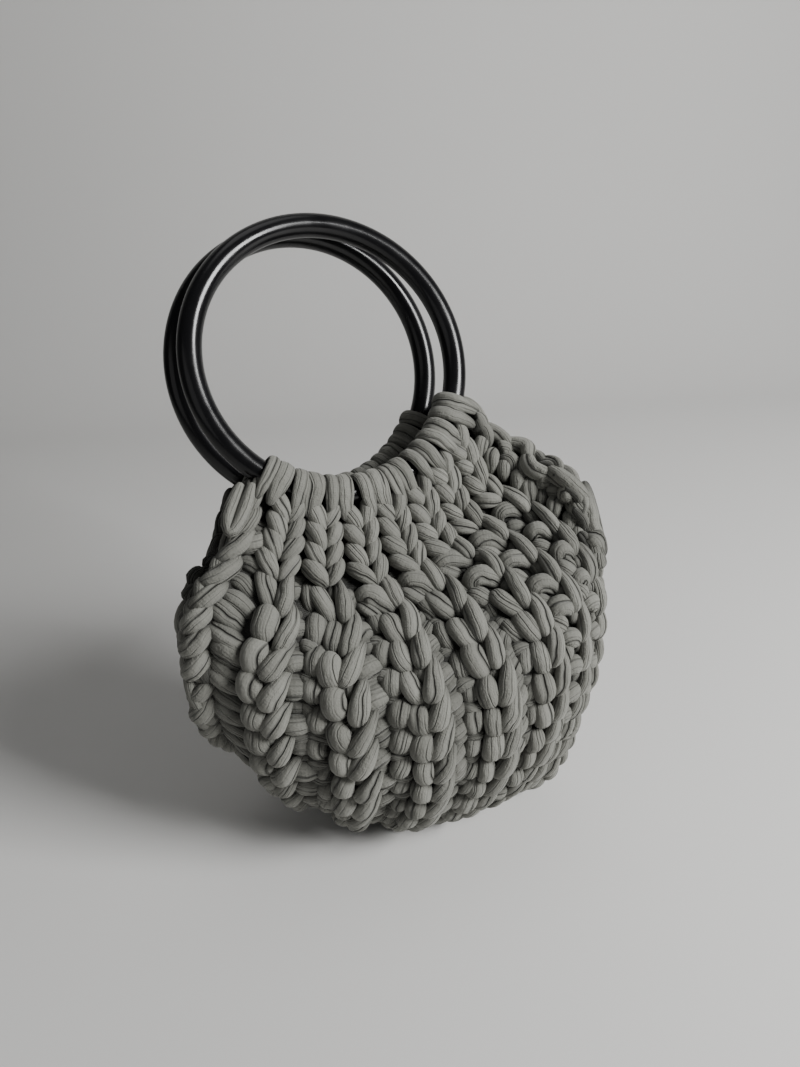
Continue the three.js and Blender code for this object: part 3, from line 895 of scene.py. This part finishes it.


# Grey jersey yarn: tone by strand and mottled, with painted shade in its creases and deep between strands,
# and a soft sheen
def yarnMaterial(name, look, group):
    material, tree, shader = newMaterial(name, look["shader"])
    link = tree.links.new
    uv = addNode(tree, "ShaderNodeUVMap", uv_map="strandUv")
    split = addNode(tree, "ShaderNodeSeparateXYZ")
    link(uv.outputs[0], split.inputs[0])
    tone = addNode(tree, "ShaderNodeAttribute", attribute_name="strandTone").outputs["Fac"]
    # Height under the ridge tops, read for the painted shade
    level = addNode(tree, "ShaderNodeAttribute", attribute_name="shadeLevel").outputs["Fac"]
    strip = addNode(tree, "ShaderNodeGroup", {"Folds": look["folds"]}, node_tree=group)
    link(split.outputs[0], strip.inputs["Along"])
    link(split.outputs[1], strip.inputs["Around"])
    link(tone, strip.inputs["Tone"])
    mottle = mathNode(tree, "MULTIPLY", strip.outputs["Mottle"], look["mottleShare"])
    colours = {"A": (*look["dark"], 1.0), "B": (*look["light"], 1.0)}
    body = addNode(tree, "ShaderNodeMix", colours, data_type="RGBA")
    link(mathNode(tree, "MULTIPLY_ADD", tone, look["toneShare"], mottle), body.inputs["Factor"])
    # Painted shade in the creases: the colour is mixed towards near black along them
    withCreaseShade = addNode(tree, "ShaderNodeMix", {"B": (*look["creaseShade"], 1.0)}, data_type="RGBA")
    link(mathNode(tree, "MULTIPLY", strip.outputs["CreaseShade"], look["creaseShadeStrength"]), withCreaseShade.inputs["Factor"])
    link(body.outputs["Result"], withCreaseShade.inputs["A"])
    # Painted shade: the colour darkens for yarn lying deeper under the ridge tops, deepest between strands
    shadeByDepth = softRange(tree, level, look["fullShadeAt"], look["noShadeAt"], look["fullShadeShare"])
    sunkShade = addNode(tree, "ShaderNodeMix", {"Factor": 1.0}, data_type="RGBA", blend_type="MULTIPLY")
    link(withCreaseShade.outputs["Result"], sunkShade.inputs["A"])
    link(shadeByDepth, sunkShade.inputs["B"])
    link(sunkShade.outputs["Result"], shader.inputs["Base Color"])
    bump = addNode(tree, "ShaderNodeBump", {"Strength": 1.0, "Distance": look["bump"]})
    link(strip.outputs["Height"], bump.inputs["Height"])
    link(bump.outputs[0], shader.inputs["Normal"])
    return material


ringLook = {
    "shader": {"Base Color": (0.0045, 0.0045, 0.005, 1.0), "IOR": 1.5, "Specular IOR Level": 0.36},
    "haze": {"Scale": 55.0, "Detail": 5.0, "Roughness": 0.6},
    "rough": {"From Min": 0.35, "From Max": 0.7, "To Min": 0.16, "To Max": 0.30},
    "bump": {"Strength": 0.06, "Distance": 0.0004},
}


# Black moulded plastic: deep gloss, faint handling haze along the bar
def ringMaterial():
    material, tree, shader = newMaterial("blackRingGloss", ringLook["shader"])
    link = tree.links.new
    place = addNode(tree, "ShaderNodeTexCoord")
    haze = addNode(tree, "ShaderNodeTexNoise", ringLook["haze"])
    link(place.outputs["Object"], haze.inputs["Vector"])
    rough = addNode(tree, "ShaderNodeMapRange", ringLook["rough"])
    link(haze.outputs["Fac"], rough.inputs["Value"])
    link(rough.outputs[0], shader.inputs["Roughness"])
    bump = addNode(tree, "ShaderNodeBump", ringLook["bump"])
    link(haze.outputs["Fac"], bump.inputs["Height"])
    link(bump.outputs[0], shader.inputs["Normal"])
    return material


jersey = jerseyGroup()
yarn = yarnMaterial("greyJerseyYarn", yarnLook, jersey)
shadeWallYarn = yarnMaterial("paintedShadeWall", shadeWallLook, jersey)
ringGloss = ringMaterial()
print("materials made")

# Pieces of yarn on each panel, with the number of sides of their strands
strandSides = {
    "ridge_stitches": 8, "valley_lumps": 8, "neck_leaves": 8, "neck_rungs": 6, "edge_chains": 8,
    "side_rungs": 8, "ring_wraps": 8,
}
for side in ("front", "back"):
    ringPiece(side, ringGloss)
    rng = np.random.default_rng(seeds[side])
    core = corePiece(side, shadeWallYarn)
    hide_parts(f"{side}_panel")
    made = [ribStrands(side, rib, rng) for rib in range(1 - edgeRib, edgeRib)]
    made += [edgeStrands(side, end, rng) for end in (-1, 1)]
    if side == "front":
        made += [{"edge_chains": seamStrands(end, rng)} for end in (1, -1)]
        made.append({"edge_chains": slackStrands()})
    made.append({"ring_wraps": wrapStrands(side, rng)})
    for label, sides in strandSides.items():
        strands = gathered([part[label] for part in made if label in part])
        strandPiece(f"{side}_{label}", strands, rng.random(len(strands[0])), yarn, sides)
print("bag made")

# Camera of the photograph, in millimetres from under the front ring's middle
photoCamera = {
    "place": (3.7, -398.3, 360.2), "forward": (0.063, 0.881, -0.4695), "upward": (0.068, 0.466, 0.882),
    "focalPixels": 800.0, "longSidePixels": 1067.0, "sensor": 36.0, "clipStart": 0.01,
}
cameraData = bpy.data.cameras.new("photoCamera")
camera = bpy.data.objects.new("photoCamera", cameraData)
bpy.context.scene.collection.objects.link(camera)
forward = Vector(photoCamera["forward"]).normalized()
rightward = forward.cross(Vector(photoCamera["upward"])).normalized()
upward = rightward.cross(forward)
turned = Matrix((rightward, upward, -forward)).transposed().to_4x4()
turned.translation = Vector(np.array(photoCamera["place"]) * mm + underRing)
camera.matrix_world = turned
cameraData.sensor_width = photoCamera["sensor"]
cameraData.lens = photoCamera["sensor"] * photoCamera["focalPixels"] / photoCamera["longSidePixels"]
cameraData.clip_start = photoCamera["clipStart"]
bpy.context.scene.camera = camera

# Floor that sweeps up behind: flat, then a quarter circle, then upright, in metres
sweep = {
    "back": 0.62, "radius": 0.35, "high": 2.2, "front": -2.0, "half": 3.0, "steps": 24,
    "shader": {"Base Color": (0.62, 0.615, 0.60, 1.0), "Roughness": 0.8},
}
turnUp = np.linspace(0, np.pi / 2, sweep["steps"])
bendY = sweep["back"] + sweep["radius"] * np.sin(turnUp)
bendZ = sweep["radius"] * (1 - np.cos(turnUp))
profileY = np.concatenate([[sweep["front"]], bendY, [sweep["back"] + sweep["radius"]]])
profileZ = np.concatenate([[0.0], bendZ, [sweep["high"]]])
rows = len(profileY)
points = np.stack(np.broadcast_arrays(np.array([[-sweep["half"]], [sweep["half"]]]), profileY, profileZ), -1)
index = np.arange(rows - 1)
quads = np.stack([index, index + rows, index + rows + 1, index + 1], -1)
floorMesh = bpy.data.meshes.new("paleFloor")
floorMesh.from_pydata(points.reshape(-1, 3).tolist(), [], quads.tolist())
floorMesh.polygons.foreach_set("use_smooth", np.ones(len(quads), bool))
floor = bpy.data.objects.new("paleFloor", floorMesh)
bpy.context.scene.collection.objects.link(floor)
floorMesh.materials.append(newMaterial("paleFloorPaint", sweep["shader"])[0])

# Soft daylight from the upper right, a weak fill from the left and a weak light from above, in metres
lamps = {
    "windowLight": {"place": (0.97, -0.57, 0.85), "aim": (0.0, 0.0, 0.12), "size": 0.5, "watts": 32.0},
    "fillLight": {"place": (-0.9, -0.9, 0.7), "aim": (0.0, 0.0, 0.12), "size": 0.9, "watts": 1.2},
    "topLight": {"place": (0.0, 0.15, 1.5), "aim": (0.0, 0.0, 0.1), "size": 0.7, "watts": 1.8},
}
for name, lamp in lamps.items():
    lampData = bpy.data.lights.new(name, "AREA")
    lampData.energy = lamp["watts"]
    lampData.size = lamp["size"]
    lampObject = bpy.data.objects.new(name, lampData)
    lampObject.location = lamp["place"]
    aim = Vector(lamp["aim"]) - Vector(lamp["place"])
    lampObject.rotation_euler = aim.to_track_quat("-Z", "Y").to_euler()
    bpy.context.scene.collection.objects.link(lampObject)
roomLight = {"Color": (0.95, 0.97, 1.0, 1.0), "Strength": 0.055}
world = bpy.data.worlds.new("softRoom")
world.use_nodes = True
for key, value in roomLight.items():
    world.node_tree.nodes["Background"].inputs[key].default_value = value
bpy.context.scene.world = world
print("camera, floor and lights made")
